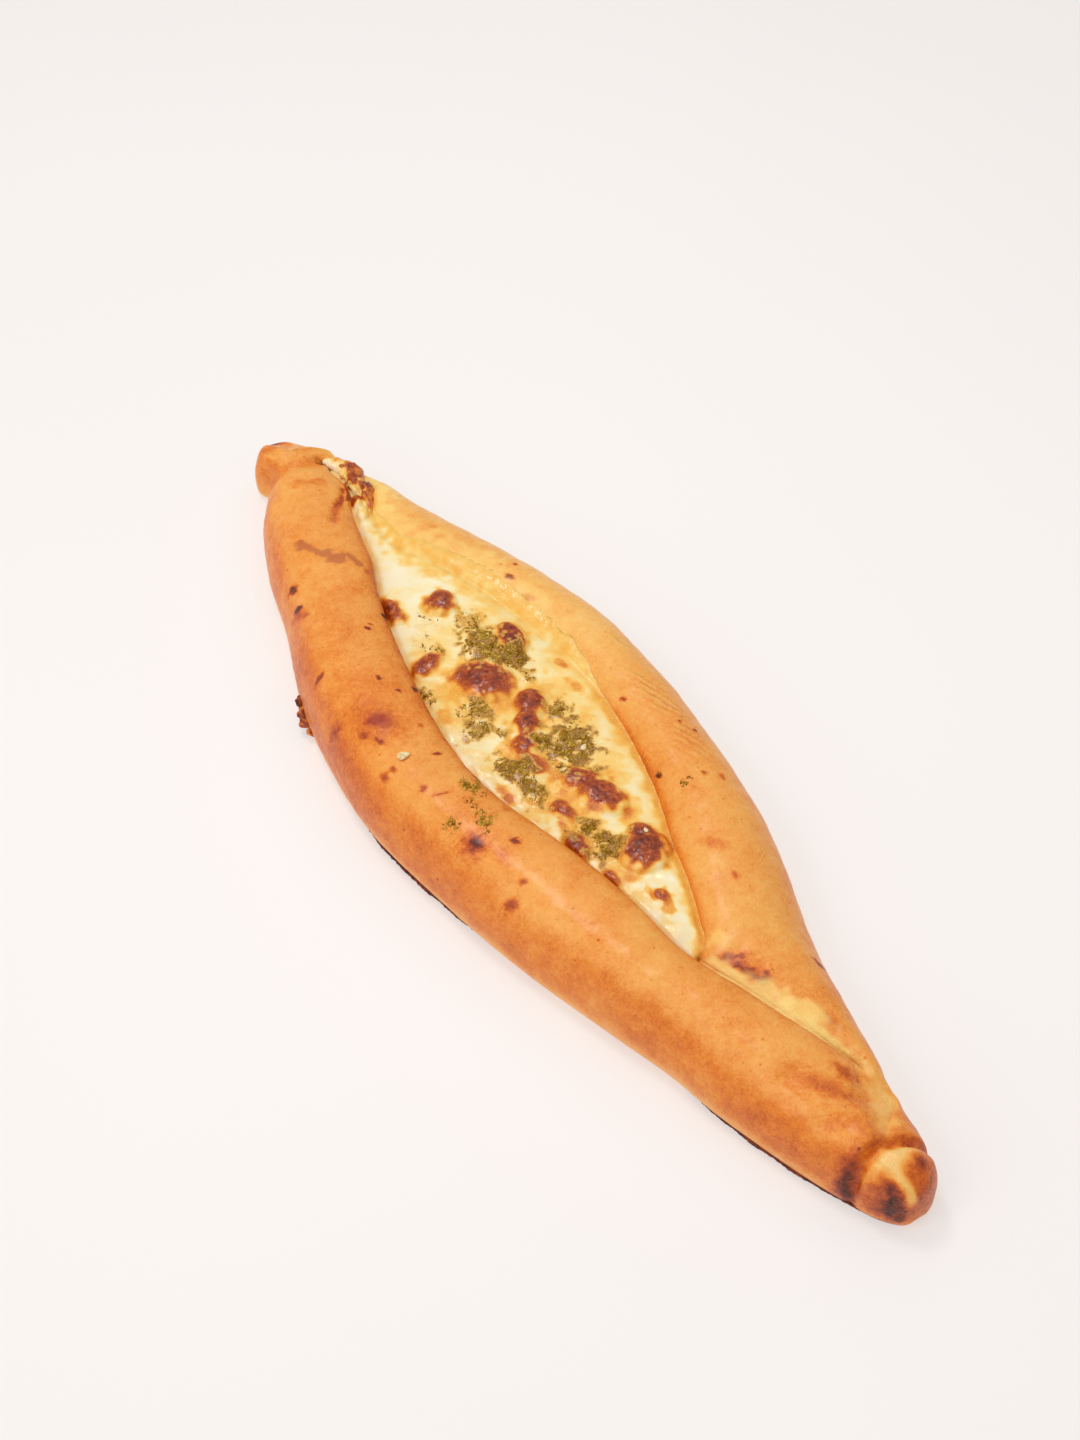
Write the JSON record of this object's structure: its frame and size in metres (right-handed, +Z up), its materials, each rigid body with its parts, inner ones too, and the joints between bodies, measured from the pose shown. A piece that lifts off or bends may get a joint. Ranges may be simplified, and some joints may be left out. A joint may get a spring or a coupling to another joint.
{
  "type": "turkish pide",
  "caption": "Long boat-shaped bread with folded sides and pinched ends, open along its middle over a filling of browned melted cheese and dried herbs.",
  "frame": {"origin": "on the surface the bread rests on, under the middle of its bounding box", "axes": "+X along the boat towards its scorched, pinched end; +Y towards the fold whose edge the other fold laps over; +Z up"},
  "size_m": [0.3014, 0.0914, 0.0273],
  "materials": {
    "crust": "satin, egg-washed and baked",
    "cheese": "glossy melted cheese, browned in spots",
    "herbs": "crumbled dried herbs, oily",
    "seed": "smooth sesame seed"
  },
  "bodies": {
    "root": {"dough_boat": "crust", "cheese_filling": "cheese"}
  },
  "joints": []
}
